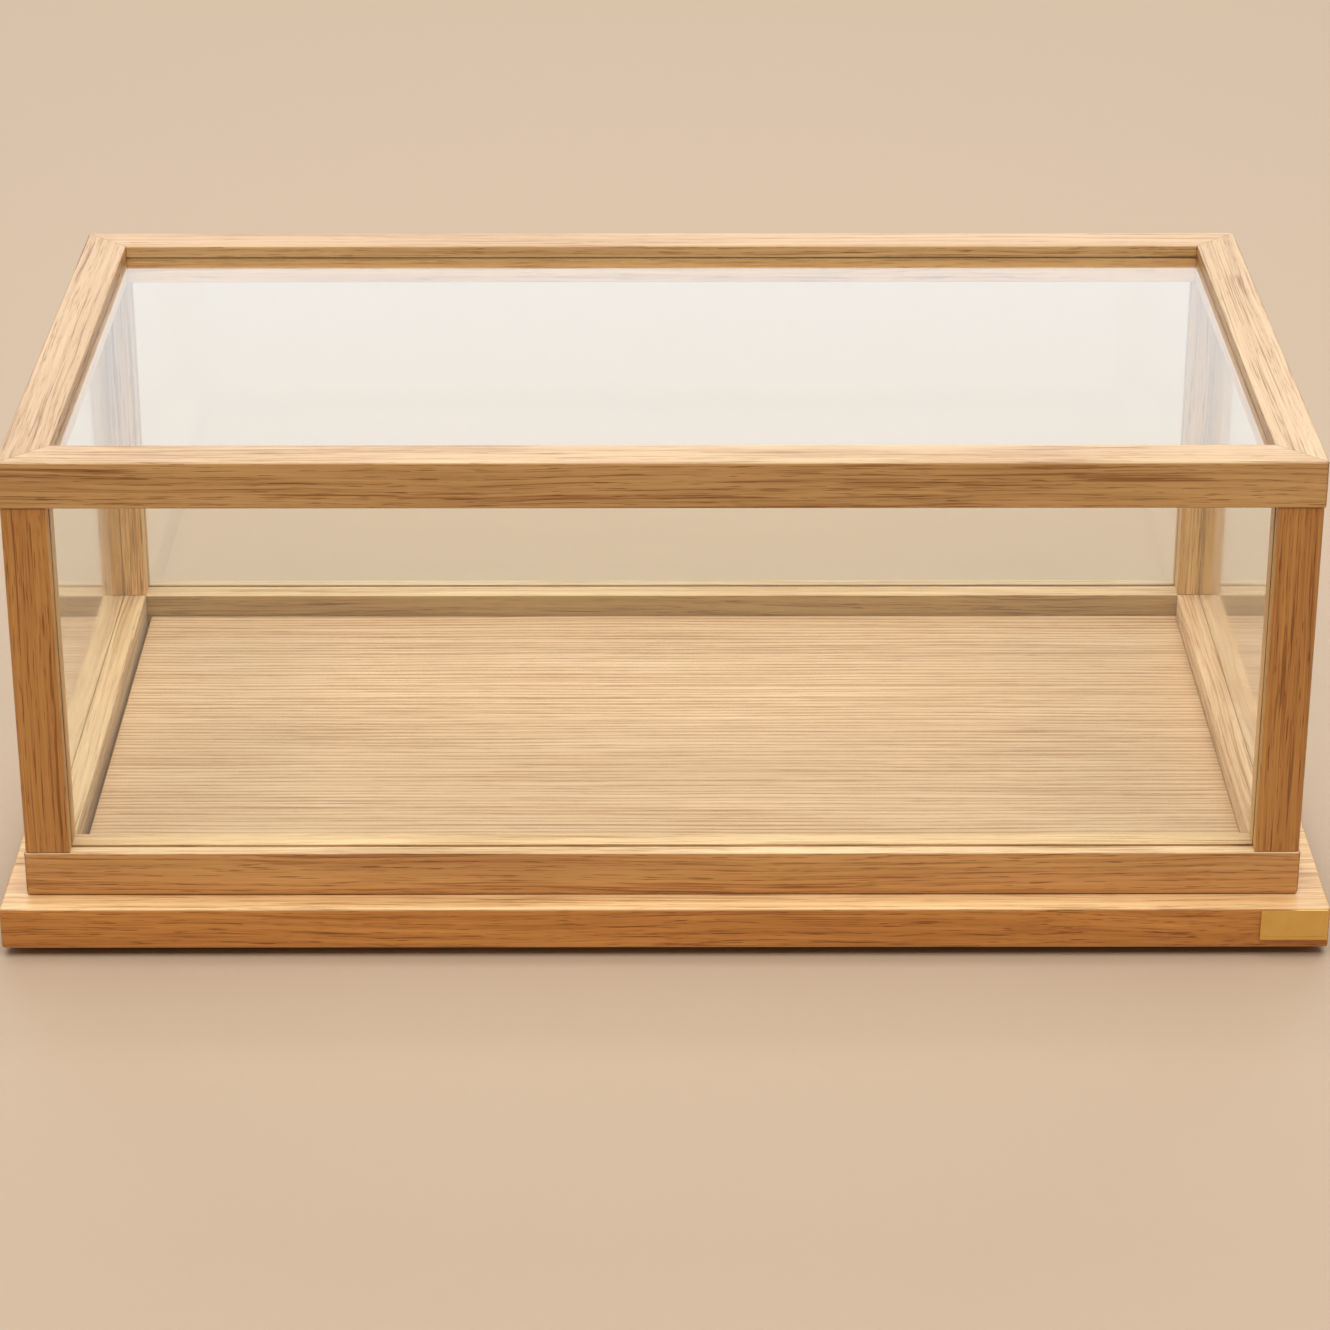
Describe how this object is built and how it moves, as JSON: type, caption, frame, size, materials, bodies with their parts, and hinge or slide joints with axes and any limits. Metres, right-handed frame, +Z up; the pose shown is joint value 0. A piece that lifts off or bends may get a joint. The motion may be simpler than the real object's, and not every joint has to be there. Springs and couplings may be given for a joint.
{
  "type": "shadow box display case",
  "caption": "Tabletop display case: a glazed oak frame cover that lifts straight off an oak base with a raised floor.",
  "frame": {"origin": "centre of the footprint, on the plane that the four feet stand on", "axes": "+X along the case's length, to the right seen from the front; +Y from the front to the back; +Z up"},
  "size_m": [0.355, 0.2028, 0.1391],
  "materials": {
    "oak": "oiled, satin, open grain",
    "oak_floor": "satin, fine straight grain",
    "beech": "plain",
    "glass": "polished float glass",
    "brass": "satin",
    "adhesive": "matt",
    "zinc_steel": "zinc plated",
    "rubber": "matt"
  },
  "bodies": {
    "base": {"base_board": "oak", "floor_panel": "oak_floor", "base_screws": "zinc_steel", "foot_front_left": "rubber", "foot_front_right": "rubber", "foot_back_left": "rubber", "foot_back_right": "rubber", "name_plate": "brass", "name_plate_adhesive": "adhesive"},
    "cover": {"top_rail_front": "oak", "top_rail_back": "oak", "top_rail_left": "oak", "top_rail_right": "oak", "bottom_rail_front": "oak", "bottom_rail_back": "oak", "bottom_rail_left": "oak", "bottom_rail_right": "oak", "post_front_left": "oak", "post_front_right": "oak", "post_back_left": "oak", "post_back_right": "oak", "glass_front": "glass", "glass_back": "glass", "glass_left": "glass", "glass_right": "glass", "glass_top": "glass", "corner_dowels": "beech"}
  },
  "joints": [
    {"name": "cover_lift", "type": "slide", "parent": "base", "child": "cover", "axis": [0, 0, 1], "range_m": [0, 0.15]}
  ]
}
